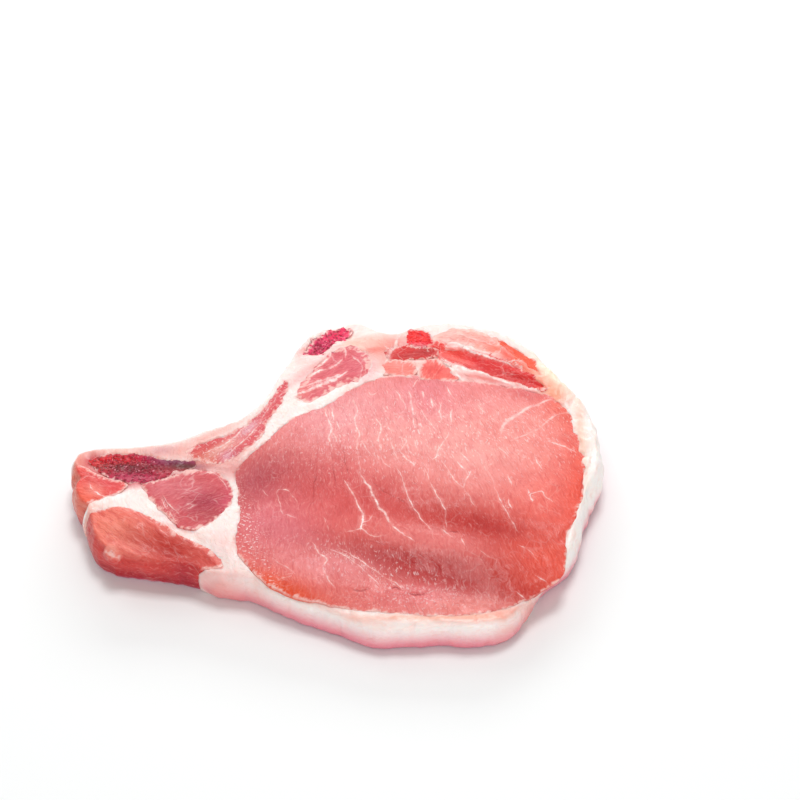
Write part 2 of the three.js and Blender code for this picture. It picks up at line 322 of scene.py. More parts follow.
def line_marks(points, lines):
    """For each point, how far it lies to the side of the nearest line, in half widths, and how near.
    The lines waver a little, taper to their ends and break up here and there."""
    flat = points * (1, 1, 0)
    frayed = flat[:, :2].copy()
    for axis in (0, 1):
        frayed[:, axis] += 0.35 * noise(flat, 2.6, 21 + axis) + 0.15 * noise(flat, 0.9, 23 + axis)
    nearest = np.full(len(points), 1e9)
    side = np.full(len(points), 50.0)
    strength = np.zeros(len(points))
    for width, power, pixels in lines:
        route = smooth_route(pixels)
        low = route.min(0) - LINE_REACH
        high = route.max(0) + LINE_REACH
        near = np.flatnonzero(np.all((frayed > low) & (frayed < high), axis=1))
        if len(near) == 0:
            continue
        close = frayed[near]
        for i in range(len(route) - 1):
            start = route[i]
            step = route[i + 1] - start
            share = ((close - start) @ step) / (step @ step)
            held = np.clip(share, 0, 1)
            gap = close - start - held[:, None] * step
            distance = np.hypot(gap[:, 0], gap[:, 1])
            better = distance < nearest[near]
            run = (i + held) / (len(route) - 1)
            taper = 0.35 + 0.65 * np.sin(np.pi * run) ** 0.6
            turned = np.sign(step[0] * gap[:, 1] - step[1] * gap[:, 0])
            hit = near[better]
            nearest[hit] = distance[better]
            side[hit] = (turned * distance / (0.5 * width * taper))[better]
            strength[hit] = power * (0.4 + 0.6 * taper[better])
    broken = np.clip(0.65 + 0.8 * noise(flat, 1.6, 25), 0.1, 1.1)
    return np.clip(side, -50, 50), broken * strength * np.exp(-(nearest / LINE_FADE) ** 2)


def ridge(distance, half_width):
    """The height of a rounded ridge at a distance from its middle, from 0 to 1."""
    return np.exp(-(distance / half_width) ** 2)


def frill_relief(points):
    """The frills stand up, cut into teeth."""
    side, near = line_marks(points, FRILLS)
    teeth = 0.65 + 0.6 * noise(points * (1, 1, 0), 0.8, 41)
    return 0.7 * near * teeth * ridge(side, 1.2)


def fine_copy(node, name, cell):
    """A copy of a CAD node with an even, fine mesh, its facets smoothed."""
    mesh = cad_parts[node].data.copy()
    mesh.materials.clear()
    merged = bmesh.new()
    merged.from_mesh(mesh)
    bmesh.ops.remove_doubles(merged, verts=merged.verts, dist=1e-6)
    merged.to_mesh(mesh)
    merged.free()
    obj = bpy.data.objects.new(name, mesh)
    bpy.context.scene.collection.objects.link(obj)
    remesh = obj.modifiers.new("even mesh", "REMESH")
    remesh.mode = "VOXEL"
    remesh.voxel_size = cell * MM
    remesh.use_smooth_shade = True
    smooth = obj.modifiers.new("soft facets", "SMOOTH")
    smooth.factor = 0.5
    smooth.iterations = 4
    shaped = obj.evaluated_get(bpy.context.evaluated_depsgraph_get())
    obj.data = bpy.data.meshes.new_from_object(shaped)
    obj.modifiers.clear()
    obj.data.name = name
    return obj


def read_points(obj):
    """A mesh's points and normals, in millimetres."""
    count = len(obj.data.vertices)
    points = np.empty(count * 3)
    obj.data.vertices.foreach_get("co", points)
    normals = np.empty(count * 3)
    obj.data.vertex_normals.foreach_get("vector", normals)
    return points.reshape(-1, 3) / MM, normals.reshape(-1, 3)


def write_points(obj, points):
    """Moves a mesh's points to these places, in millimetres."""
    obj.data.vertices.foreach_set("co", (points * MM).ravel())
    obj.data.update()


def keep(obj, name, values, kind="FLOAT"):
    """Keeps a value for each point of a mesh, for the material to read."""
    layer = obj.data.attributes.new(name, kind, "POINT")
    field = {"FLOAT": "value", "FLOAT_VECTOR": "vector", "FLOAT_COLOR": "color"}[kind]
    layer.data.foreach_set(field, np.ascontiguousarray(values, dtype=np.float32).ravel())


def wall_distance(nodes, points):
    """How far each point is, seen from above, from the nearest wall of these CAD nodes."""
    corners = []
    steep = []
    for node in nodes:
        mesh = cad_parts[node].data
        first = len(corners)
        corners += [v.co for v in mesh.vertices]
        steep += [[first + v for v in face.vertices] for face in mesh.polygons
                  if abs(face.normal.z) < 0.4 and face.area > LEAST_WALL * MM ** 2]
    walls = BVHTree.FromPolygons(corners, steep)
    level = 0.5 * SLICE_THICKNESS * MM
    distance = np.empty(len(points))
    for i, (x, y, _) in enumerate(points * MM):
        distance[i] = walls.find_nearest(Vector((x, y, level)))[3]
    return distance / MM


# Where the outline is drawn in a little, between the lobes of the flap's end: a pixel, how far around it,
# and the shift
NOTCHES = [
    ((77, 478), (3.5, 1.3), (1.5, 0.0)),
    ((78, 505), (3.5, 1.3), (1.3, 0.0)),
]

# Where only the wall's foot is drawn in, with the pixel that shows it at the table's height, and where
# up the wall that fades out, as shares of the thickness
TUCK_FADE = (0.2, 0.8)
TUCKS = [
    ((552, 602), (7, 7), (-2.2, 1.8)),
    ((160, 590), (16, 5), (0.0, 1.9)),
]

# Where the outline is more ragged than elsewhere: over the cap, and along the right side
RAGGED_RIMS = [
    ((500, 345), (26, 9), -30, 1.2),
    ((590, 440), (8, 30), 0, 1.6),
]


def wobble(points):
    """A slight unevenness in plan that neighbours share, so that they still meet: waves 7 mm long, and
    finer ones that are stronger at the ragged rims."""
    drift = np.zeros_like(points)
    flat = points * (1, 1, 0.35)
    ragged = 0.26 + 0.2 * spots(points, RAGGED_RIMS)
    for axis in (0, 1):
        drift[:, axis] = 0.4 * noise(flat, 7.0, 3 + axis) + ragged * noise(flat, 2.4, 5 + axis)
    for pixel, reach, shift in NOTCHES:
        drift[:, :2] += bell(points, seen(pixel), reach, 0)[:, None] * shift
    foot = 1 - smooth_step(points[:, 2] / SLICE_THICKNESS, *TUCK_FADE)
    for pixel, reach, shift in TUCKS:
        drift[:, :2] += (foot * bell(points, seen(pixel, 0.0), reach, 0))[:, None] * shift
    return drift


# Where a piece's upper part reaches over the fat beside it: a pixel, how far around it, and the shift. It
# grows up the wall, from one share of the thickness to another.
REACH_RISE = (0.45, 0.85)
REACHES = {
    "loin_eye": [
        ((549, 571), (7, 7), (2.2, -1.8)),
        ((284, 584), (14, 6), (-0.6, -1.5)),
        ((577, 482), (4, 14), (1.8, 0.0)),
    ],
    "rib_bone": [
        ((122, 455), (16, 2.5), (0.0, -0.8)),
        ((128, 478), (12, 3), (0.0, -1.9)),
    ],
    "chine_bone": [((324, 345), (13, 9), (1.4, 0.0))],
    "tail_flap": [
        ((205, 547), (9, 4), (0.8, 1.3)),
        ((175, 527), (10, 3), (0.2, 0.8)),
        ((115, 513), (8, 3), (0.0, 0.9)),
    ],
    "end_meat": [((106, 488), (8, 3), (0.4, -0.8))],
    "cap_muscle": [((442, 349), (4, 5), (-1.0, 1.4))],
    "feather_bone": [((428, 340), (3, 3), (0.5, 0.0))],
    "small_muscle_inner": [((403, 374), (7, 2.5), (0.0, -1.3))],
    "small_muscle_outer": [
        ((438, 376), (8, 2.5), (0.3, -1.3)),
        ((449, 375), (4, 3), (2.4, -0.4)),
    ],
}


def carve(node, name, cell, relief, sunk=0.0, grow=SEAM_CLOSE, seams=None):
    """A fine piece in the place of a CAD node, with its cut face on the chop's swells and its relief.
    It grows a little past the CAD node's walls, unevenly, so that lean and fat meet in a ragged line.
    Returns it with its points, their distance from the seam, and how much each is of the cut face."""
    obj = fine_copy(node, name, cell)
    points, normals = read_points(obj)
    edge = wall_distance([node], points)
    seam = wall_distance(seams, points) if seams else edge
    level = face_height(points)
    top = smooth_step(points[:, 2] - level + CAD_SUNK.get(node, 0.0), *CUT_FACE)
    ragged = 1 + RAGGED_SEAM * noise(points * (1, 1, 0.3), 1.8, 31) * (grow > SEAM_CLOSE)
    push = grow * ragged * (1 + 0.4 * np.exp(-seam))
    points = points + normals * push[:, None]
    for pixel, reach, shift in REACHES.get(node, []):
        near = bell(points, seen(pixel), reach, 0) * smooth_step(points[:, 2] / level, *REACH_RISE)
        points[:, :2] += near[:, None] * shift
    inner = np.clip(ROUND_EDGE - edge, 0, ROUND_EDGE)
    rounding = ROUND_EDGE - np.sqrt(ROUND_EDGE ** 2 - inner ** 2)
    dip = sunk * (1 - np.exp(-edge / 1.2))
    face = level - dip + relief(points, edge) + frill_relief(points) - 0.15 * rounding
    points[:, 2] += top * (face - points[:, 2])
    points += wobble(points)
    points[:, 2] = np.maximum(points[:, 2], TABLE_CLEARANCE)
    write_points(obj, points)
    keep(obj, "edge", seam + OFF_FACE * (1 - top))
    return obj, points, seam, top


def linear(colour):
    """Linear red, green and blue of an sRGB hex colour."""
    parts = [int(colour[i:i + 2], 16) / 255 for i in (1, 3, 5)]
    return np.array([c / 12.92 if c <= 0.04045 else ((c + 0.055) / 1.055) ** 2.4 for c in parts])


def tint(colours, points, tints):
    """Lays soft spots of other colours over a piece in turn."""
    for _, pixel, reach, turn, colour, strength in tints:
        share = strength * bell(points, seen(pixel), reach, turn)[:, None]
        colours += share * (linear(colour) - colours)


# Where up a wall its lower colour turns into its upper one, and its foot's colour fades in, as shares of
# the thickness
WALL_TURN = (0.15, 0.7)
FOOT_FADE = (0.14, 0.04)
FOOT_STRENGTH = 0.8
DARKEST = 0.004  # in linear light


def paint(points, base, tints, wall=None, top=None, haze=0.035, over=()):
    """A colour for each point: the base, then tints, the walls' colours from their top to their foot,
    and tints over the walls too. The colours are as the photograph shows them, so the haze that the wet
    gloss adds comes off."""
    colours = np.tile(linear(base), (len(points), 1))
    tint(colours, points, tints)
    if wall is not None:
        upper, lower, foot = wall
        height = points[:, 2] / SLICE_THICKNESS
        side = (1 - top)[:, None]
        rise = smooth_step(height, *WALL_TURN)[:, None]
        base_line = smooth_step(height, *FOOT_FADE)[:, None]
        flank = linear(lower) * (1 - rise) + linear(upper) * rise
        flank += FOOT_STRENGTH * base_line * (linear(foot) - flank)
        colours += side * (flank - colours)
    tint(colours, points, over)
    return np.hstack([np.clip(colours - haze, DARKEST, 1), np.ones((len(points), 1))])


def lap_fat(colours, points, edge, top, reach):
    """Fat laps over the rim of a lean piece in a ragged film."""
    flat = points * (1, 1, 0)
    ragged = 0.5 + 0.6 * noise(flat, 2.2, 51) + 0.7 * noise(flat, 0.8, 52)
    share = 0.85 * (top * smooth_step(ragged - edge / reach, 0.0, 0.4))[:, None]
    colours[:, :3] += share * (linear("#fbcfc6") - colours[:, :3])


def straight_grain(points, degrees):
    """Place across and along fibres that run one way, in millimetres."""
    angle = math.radians(degrees)
    along = points[:, 0] * math.cos(angle) + points[:, 1] * math.sin(angle)
    across = points[:, 1] * math.cos(angle) - points[:, 0] * math.sin(angle)
    return np.column_stack([across, along, points[:, 2]])


def ring_grain(points, hub, radius):
    """Place across and along layers that run round a hub, in millimetres at that radius."""
    east = points[:, 0] - hub[0]
    north = points[:, 1] - hub[1]
    return np.column_stack([np.hypot(east, north), np.abs(np.arctan2(north, east)) * radius, points[:, 2]])


def fan_grain(points, hub, radius):
    """Place across and along fibres that fan out from a hub, in millimetres at that radius."""
    east = points[:, 0] - hub[0]
    north = points[:, 1] - hub[1]
    return np.column_stack([np.arctan2(east, -north) * radius, np.hypot(east, north), points[:, 2]])


def add(tree, kind, settings=None, sockets=None):
    """A new node with its settings, each socket linked to an output or set to a value."""
    node = tree.nodes.new(kind)
    for name, value in (settings or {}).items():
        setattr(node, name, value)
    for key, value in (sockets or {}).items():
        if isinstance(value, bpy.types.NodeSocket):
            tree.links.new(value, node.inputs[key])
        else:
            node.inputs[key].default_value = value
    return node


def rgba(colour):
    """An sRGB hex colour as a shader takes it."""
    return (*linear(colour), 1.0)


def new_tree(name):
    """A new material and its empty node tree."""
    material = bpy.data.materials.new(name)
    material.use_nodes = True
    material.node_tree.nodes.clear()
    return material, material.node_tree


def read_marks(tree, *names):
    """What the mesh keeps for its material, by name."""
    kept = {}
    for name in names:
        output = {"flesh": "Color", "grain": "Vector"}.get(name, "Fac")
        kept[name] = add(tree, "ShaderNodeAttribute", {"attribute_name": name}).outputs[output]
    return kept


def bend(tree, grain, lump, amount):
    """The grain, led astray by clouds of one size by up to an amount, both in millimetres."""
    drift = add(tree, "ShaderNodeTexNoise", {}, {"Vector": grain, "Scale": 1 / lump, "Detail": 2.0})
    return add(tree, "ShaderNodeVectorMath", {"operation": "MULTIPLY_ADD"},
               {0: drift.outputs["Color"], 1: (amount, amount, amount), 2: grain}).outputs[0]


def spread_noise(tree, vector, sizes, detail):
    """Noise whose lumps are that wide across the fibres and that long along them, in millimetres."""
    across, along = sizes
    laid = add(tree, "ShaderNodeVectorMath", {"operation": "MULTIPLY"},
               {0: vector, 1: (1 / across, 1 / along, 1 / across)}).outputs[0]
    return add(tree, "ShaderNodeTexNoise", {},
               {"Vector": laid, "Scale": 1.0, "Detail": detail}).outputs["Fac"]


def share_of(tree, value, start, full, most, within=None):
    """A share that rises from 0 where the value is at start to its most where it is at full. Another
    share may hold it back."""
    share = add(tree, "ShaderNodeMapRange", {"interpolation_type": "SMOOTHSTEP"},
                {0: value, 1: start, 2: full, 3: 0.0, 4: most}).outputs[0]
    if within is None:
        return share
    return add(tree, "ShaderNodeMath", {"operation": "MULTIPLY"}, {0: share, 1: within}).outputs[0]


def pile(tree, value, parts):
    """Adds parts to a value, such as a height, each times its weight."""
    for part, weight in parts:
        value = add(tree, "ShaderNodeMath", {"operation": "MULTIPLY_ADD"},
                    {0: part, 1: weight, 2: value}).outputs[0]
    return value


def line_share(tree, kept, line, fray, roughness, start, full, most):
    """How much shows of the lines that the mesh marks, with frayed edges. Start and full are distances
    from a line's middle, in half widths."""
    off = add(tree, "ShaderNodeMath", {"operation": "ABSOLUTE"}, {0: kept[line + "_side"]}).outputs[0]
    frayed = pile(tree, off, [(fray, roughness)])
    return share_of(tree, frayed, start, full, most, kept[line + "_near"])


# How a colour goes on: over what is below, or soaked into it
COVER = "MIX"
STAIN = "MULTIPLY"


def lay(tree, colour, layers):
    """Lays colours over one another in turn, each by its share, to cover or to stain what is below."""
    for share, how, over in layers:
        colour = add(tree, "ShaderNodeMix", {"data_type": "RGBA", "blend_type": how},
                     {0: share, 6: colour, 7: rgba(over)}).outputs[2]
    return colour


def wet_surface(tree, colour, height, strength, depth, sockets):
    """A surface that light sinks into, with relief too fine for the mesh, up to a depth in millimetres."""
    bump = add(tree, "ShaderNodeBump", {}, {"Strength": strength, "Distance": depth * MM, "Height": height})
    shader = add(tree, "ShaderNodeBsdfPrincipled", {"subsurface_method": "RANDOM_WALK"},
                 {"Base Color": colour, "Normal": bump.outputs[0], **sockets})
    add(tree, "ShaderNodeOutputMaterial", {}, {"Surface": shader.outputs[0]})


def raw_lean(name, bundle=(0.45, 4.0), streaks=0.5, network=0.2):
    """Raw lean: wet translucent muscle. Its bundles of fibre show as fine streaks and grain, and its
    marbling as thin white lines of fat. Light sinks in and comes out red."""
    material, tree = new_tree(name)
    kept = read_marks(tree, "flesh", "grain", "edge", "glint_strokes", "sparkle_beads",
                      "vein_side", "vein_near", "crease_side", "crease_near")
    grain = kept["grain"]
    bent = bend(tree, grain, 5.0, 2.8)

    # Bundles of fibre, patches a few millimetres wide, and the grain of the cut fibres. Real fibres are
    # under 0.1 mm thick, too fine to show, so the grain is drawn 0.4 mm wide.
    fibre = spread_noise(tree, bent, bundle, 3.0)
    patches = spread_noise(tree, bent, (4.0, 5.0), 3.0)
    fine = spread_noise(tree, bent, (0.4, 1.3), 2.0)

    # The net of thin fat between the bundles, which comes and goes
    net_laid = add(tree, "ShaderNodeVectorMath", {"operation": "MULTIPLY"},
                   {0: bent, 1: (1 / 3.2, 1 / 6.5, 1 / 3.2)}).outputs[0]
    cells = add(tree, "ShaderNodeTexVoronoi", {"feature": "DISTANCE_TO_EDGE"},
                {"Vector": net_laid, "Scale": 1.0}).outputs["Distance"]
    where = spread_noise(tree, grain, (7.0, 7.0), 2.0)
    net = share_of(tree, cells, 0.045, 0.0, 1.0, share_of(tree, where, 0.48, 0.62, network))

    # Short pale dashes on the bundles' raised ends, as painted glints, and pale specks of grain with painted
    # sparkle
    glint_strokes = share_of(tree, spread_noise(tree, bent, (0.34, 1.6), 1.0), 0.6, 0.7, 1.0, kept["glint_strokes"])
    sparkle_beads = share_of(tree, spread_noise(tree, bent, (0.5, 0.55), 1.0), 0.58, 0.68, 1.0, kept["sparkle_beads"])

    # Veins with a pale halo, creases darkened with painted shade, and a frayed film of fat along the seams
    fray = spread_noise(tree, grain, (0.7, 0.7), 2.0)
    halo = line_share(tree, kept, "vein", fray, 0.0, 6.0, 0.5, 0.35)
    veins = line_share(tree, kept, "vein", fray, 2.2, 2.3, 1.2, 1.0)
    creases = line_share(tree, kept, "crease", fray, 1.6, 2.2, 1.0, 0.9)
    film = share_of(tree, pile(tree, kept["edge"], [(fray, 0.9)]), 0.62, 0.4, 0.6)

    colour = lay(tree, kept["flesh"], [
        (share_of(tree, fibre, 0.5, 0.3, streaks), STAIN, "#ecc5c8"),
        (share_of(tree, fibre, 0.55, 0.75, streaks * 0.35), COVER, "#ffc4bc"),
        (share_of(tree, patches, 0.38, 0.68, 0.6), STAIN, "#f3d7d7"),
        (share_of(tree, fine, 0.5, 0.36, 0.25), STAIN, "#efcbcb"),
        # A faint pale layer on the fine grain's raised bits is painted light
        (share_of(tree, fine, 0.58, 0.74, 0.12), COVER, "#ffcdc8"),
        (net, COVER, "#ffece8"),
        # Painted glints and painted sparkle
        (glint_strokes, COVER, "#fff0ee"),
        (sparkle_beads, COVER, "#ffe2e0"),
        (halo, COVER, "#ffb9b2"),
        (veins, COVER, "#ffece8"),
        # Dark red in the creases is painted shade
        (creases, COVER, "#a8242a"),
        (film, COVER, "#fbd0c6"),
    ])
    height = pile(tree, fibre, [(fine, 1.2), (glint_strokes, 0.5), (sparkle_beads, 0.8), (veins, 0.4), (creases, -1.2)])
    gloss = add(tree, "ShaderNodeMapRange", {}, {0: patches, 1: 0.3, 2: 0.7, 3: 0.3, 4: 0.45}).outputs[0]
    wet_surface(tree, colour, height, 0.7, 0.2, {
        "Roughness": gloss,
        "IOR": 1.34,
        "Subsurface Weight": 0.25,
        "Subsurface Radius": (1.0, 0.3, 0.2),
        "Subsurface Scale": 1.2 * MM,
        "Coat Weight": 0.18,
        "Coat Roughness": 0.1,
        "Coat IOR": 1.33,
    })
    return material


def raw_fat(name):
    """Pork fat: firm, waxy and cream white, pink where it thins over the lean. Light goes deep into it."""
    material, tree = new_tree(name)
    kept = read_marks(tree, "flesh", "grain", "edge", "vein_side", "vein_near", "crease_side", "crease_near")
    grain = kept["grain"]
    bent = bend(tree, grain, 6.0, 5.0)

    # Pink clouds, the long layers of the fat, its lobes and its fine grain
    clouds = spread_noise(tree, bent, (3.2, 4.5), 3.0)
    layers = spread_noise(tree, bent, (0.6, 9.0), 3.0)
    lobes = add(tree, "ShaderNodeTexVoronoi", {"feature": "SMOOTH_F1"},
                {"Vector": bent, "Scale": 1 / 2.0, "Smoothness": 0.6}).outputs["Distance"]
    fine = spread_noise(tree, bent, (0.5, 1.4), 2.0)

    # Where it thins along the lean, the red shows through. White frills lie over it, and folds run
    # between its lobes, darkened with painted shade.
    fray = spread_noise(tree, grain, (1.0, 1.6), 3.0)
    thin_edge = pile(tree, kept["edge"], [(fray, -1.6)])
    frills = line_share(tree, kept, "vein", fray, 1.6, 2.2, 1.2, 1.0)
    folds = line_share(tree, kept, "crease", fray, 0.0, 2.4, 0.6, 0.6)

    colour = lay(tree, kept["flesh"], [
        (share_of(tree, clouds, 0.48, 0.72, 0.6), STAIN, "#ffece7"),
        (share_of(tree, layers, 0.52, 0.74, 0.5), STAIN, "#fee5e2"),
        (share_of(tree, thin_edge, 0.0, -0.7, 0.65), STAIN, "#f8b1aa"),
        (frills, COVER, "#fff0ea"),
        # Painted shade in the folds
        (folds, COVER, "#e8a090"),
    ])
    height = pile(tree, lobes, [(layers, 1.0), (fine, 0.6)])
    wet_surface(tree, colour, height, 0.7, 0.3, {
        "Roughness": 0.38,
        "IOR": 1.45,
        "Subsurface Weight": 0.35,
        "Subsurface Radius": (1.0, 0.5, 0.4),
        "Subsurface Scale": 1.6 * MM,
        "Coat Weight": 0.25,
        "Coat Roughness": 0.18,
    })
    return material


def sawn_bone(name, pore, pocket):
    """Sawn spongy bone: pockets of dark red marrow in a net of paler bone, wet from the saw. The pockets
    are a pore wide, in millimetres, and fade out where the mesh is kept smooth."""
    material, tree = new_tree(name)
    kept = read_marks(tree, "flesh", "grain", "smooth")
    rough = add(tree, "ShaderNodeMath", {"operation": "SUBTRACT"}, {0: 1.0, 1: kept["smooth"]}).outputs[0]
    bent = bend(tree, kept["grain"], 1.5, 0.9)
    cells = add(tree, "ShaderNodeTexVoronoi", {"feature": "F1"},
                {"Vector": bent, "Scale": 1 / pore}).outputs["Distance"]
    pockets = share_of(tree, cells, 0.6, 0.25, 0.75, rough)
    crumbs = share_of(tree, spread_noise(tree, bent, (0.8 * pore, 0.8 * pore), 2.0), 0.57, 0.7, 0.45, rough)
    colour = lay(tree, kept["flesh"], [(pockets, STAIN, pocket), (crumbs, COVER, "#c03058")])
    wet_surface(tree, colour, pile(tree, crumbs, [(pockets, -1.0)]), 0.8, 0.3, {
        "Roughness": 0.42,
        "IOR": 1.38,
        "Subsurface Weight": 0.1,
        "Subsurface Radius": (1.0, 0.3, 0.25),
        "Subsurface Scale": 0.8 * MM,
        "Coat Weight": 0.12,
        "Coat Roughness": 0.12,
    })
    return material


def marrow_chip():
    """Splinters of bone in the marrow: small, wet and pale pink or crimson, in clouds 1.11 mm wide."""
    material, tree = new_tree("bone_chips")
    place = add(tree, "ShaderNodeTexCoord").outputs["Object"]
    cloud = add(tree, "ShaderNodeTexNoise", {},
                {"Vector": place, "Scale": 1 / (1.11 * MM), "Detail": 1.0}).outputs["Fac"]
    colour = lay(tree, rgba("#a80c38"), [(share_of(tree, cloud, 0.47, 0.66, 1.0), COVER, "#f090a4")])
    shader = add(tree, "ShaderNodeBsdfPrincipled", {}, {
        "Base Color": colour, "Roughness": 0.3, "Coat Weight": 0.2, "Coat Roughness": 0.1})
    add(tree, "ShaderNodeOutputMaterial", {}, {"Surface": shader.outputs[0]})
    return material


# Distance between the chips in the marrow, and their least and largest radius
CHIP_SIZES = {"Spacing": 0.65, "Smallest": 0.1, "Largest": 0.3}


def chip_tree(material):
    """Geometry Nodes: rough little chips on a mesh, as thick as its attribute says."""
    tree = bpy.data.node_groups.new("scatter chips", "GeometryNodeTree")
    face = tree.interface
    face.new_socket("Geometry", in_out="INPUT", socket_type="NodeSocketGeometry")
    for name in CHIP_SIZES:
        face.new_socket(name, in_out="INPUT", socket_type="NodeSocketFloat")
    face.new_socket("Geometry", in_out="OUTPUT", socket_type="NodeSocketGeometry")
    given = add(tree, "NodeGroupInput")

    # Where the chips stick
    where = add(tree, "GeometryNodeInputNamedAttribute", {"data_type": "FLOAT"}, {"Name": "chips"})
    points = add(tree, "GeometryNodeDistributePointsOnFaces", {"distribute_method": "POISSON"}, {
        "Mesh": given.outputs["Geometry"], "Distance Min": given.outputs["Spacing"], "Density Max": 4.0e6,
        "Density Factor": where.outputs[0], "Seed": 5})

    # One chip: a ball pushed out of shape
    ball = add(tree, "GeometryNodeMeshIcoSphere", {}, {"Radius": 1.0, "Subdivisions": 2})
    swirl = add(tree, "ShaderNodeTexNoise", {}, {"Scale": 1.3, "Detail": 1.0})
    push = add(tree, "ShaderNodeVectorMath", {"operation": "MULTIPLY_ADD"},
               {0: swirl.outputs["Color"], 1: (1.4, 1.4, 1.4), 2: (-0.7, -0.7, -0.7)})
    chip = add(tree, "GeometryNodeSetPosition", {},
               {"Geometry": ball.outputs["Mesh"], "Offset": push.outputs[0]})

    # Each of them in its own size, turned at random
    size = add(tree, "FunctionNodeRandomValue", {"data_type": "FLOAT"},
               {2: given.outputs["Smallest"], 3: given.outputs["Largest"], "Seed": 6})
    turn = add(tree, "FunctionNodeRandomValue", {"data_type": "FLOAT_VECTOR"},
               {0: (0.0, 0.0, 0.0), 1: (math.tau, math.tau, math.tau), "Seed": 7})
    placed = add(tree, "GeometryNodeInstanceOnPoints", {}, {
        "Points": points.outputs["Points"], "Instance": chip.outputs[0], "Rotation": turn.outputs[0],
        "Scale": size.outputs[1]})
    real = add(tree, "GeometryNodeRealizeInstances", {}, {"Geometry": placed.outputs[0]})
    done = add(tree, "GeometryNodeSetMaterial", {}, {"Geometry": real.outputs[0], "Material": material})
    add(tree, "NodeGroupOutput", {}, {"Geometry": done.outputs[0]})
    return tree


def stand_for(obj, node):
    """The piece moves with the chop and stands for its CAD node."""
    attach(obj, "root")
    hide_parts(node)


def scatter_chips(core, node, name, tree):
    """A piece of loose-looking chips that stick in the marrow of a sawn bone."""
    obj = bpy.data.objects.new(name, core.data.copy())
    bpy.context.scene.collection.objects.link(obj)
    modifier = obj.modifiers.new("chips", "NODES")
    modifier.node_group = tree
    for item in tree.interface.items_tree:
        if item.name in CHIP_SIZES:
            modifier[item.identifier] = CHIP_SIZES[item.name] * MM
    shaped = obj.evaluated_get(bpy.context.evaluated_depsgraph_get())
    obj.data = bpy.data.meshes.new_from_object(shaped)
    obj.modifiers.clear()
    obj.data.name = name
    stand_for(obj, node)


def mark(obj, points, top, colours, grain, glint_strokes=0.0, sparkle_beads=0.0, smooth=0.0):
    """Keeps on a piece what its material reads."""
    keep(obj, "flesh", colours, "FLOAT_COLOR")
    keep(obj, "grain", grain, "FLOAT_VECTOR")
    for name, share in (("glint_strokes", glint_strokes), ("sparkle_beads", sparkle_beads), ("smooth", smooth)):
        keep(obj, name, np.broadcast_to(share, len(points)) * top)
    for name, lines in (("vein", VEINS + FRILLS), ("crease", CREASES)):
        side, near = line_marks(points, lines)
        keep(obj, name + "_side", side)
        keep(obj, name + "_near", near * top)


def settle(obj, node, material):
    """Gives the piece its finish and its place among the CAD's nodes."""
    obj.data.materials.append(material)
    stand_for(obj, node)


# Fibres of the eye fan out from a hub beyond the chop's far edge
EYE_HUB = (-12.0, 153.0)
EYE_RADIUS = 150.0


def eye_relief(points, edge):
    """Gentle swells, fine fibres that fan out, sunk creases and veins that stand a little proud."""
    grain = fan_grain(points, EYE_HUB, EYE_RADIUS)
    flat = points * (1, 1, 0)
    lift = 0.18 * noise(flat, 10.0, 1) + 0.08 * noise(flat, 4.0, 2)
    lift += 0.05 * noise(grain, (1.3, 9.0, 5.0), 3) + 0.03 * noise(flat, 1.2, 4)
    crease_side, crease_near = line_marks(points, CREASES)
    lift -= 0.4 * crease_near * ridge(crease_side, 1.4)
    vein_side, vein_near = line_marks(points, VEINS)
    lift += 0.05 * vein_near * ridge(vein_side, 1.5)
    return lift - 0.05 * np.exp(-edge / 0.6)


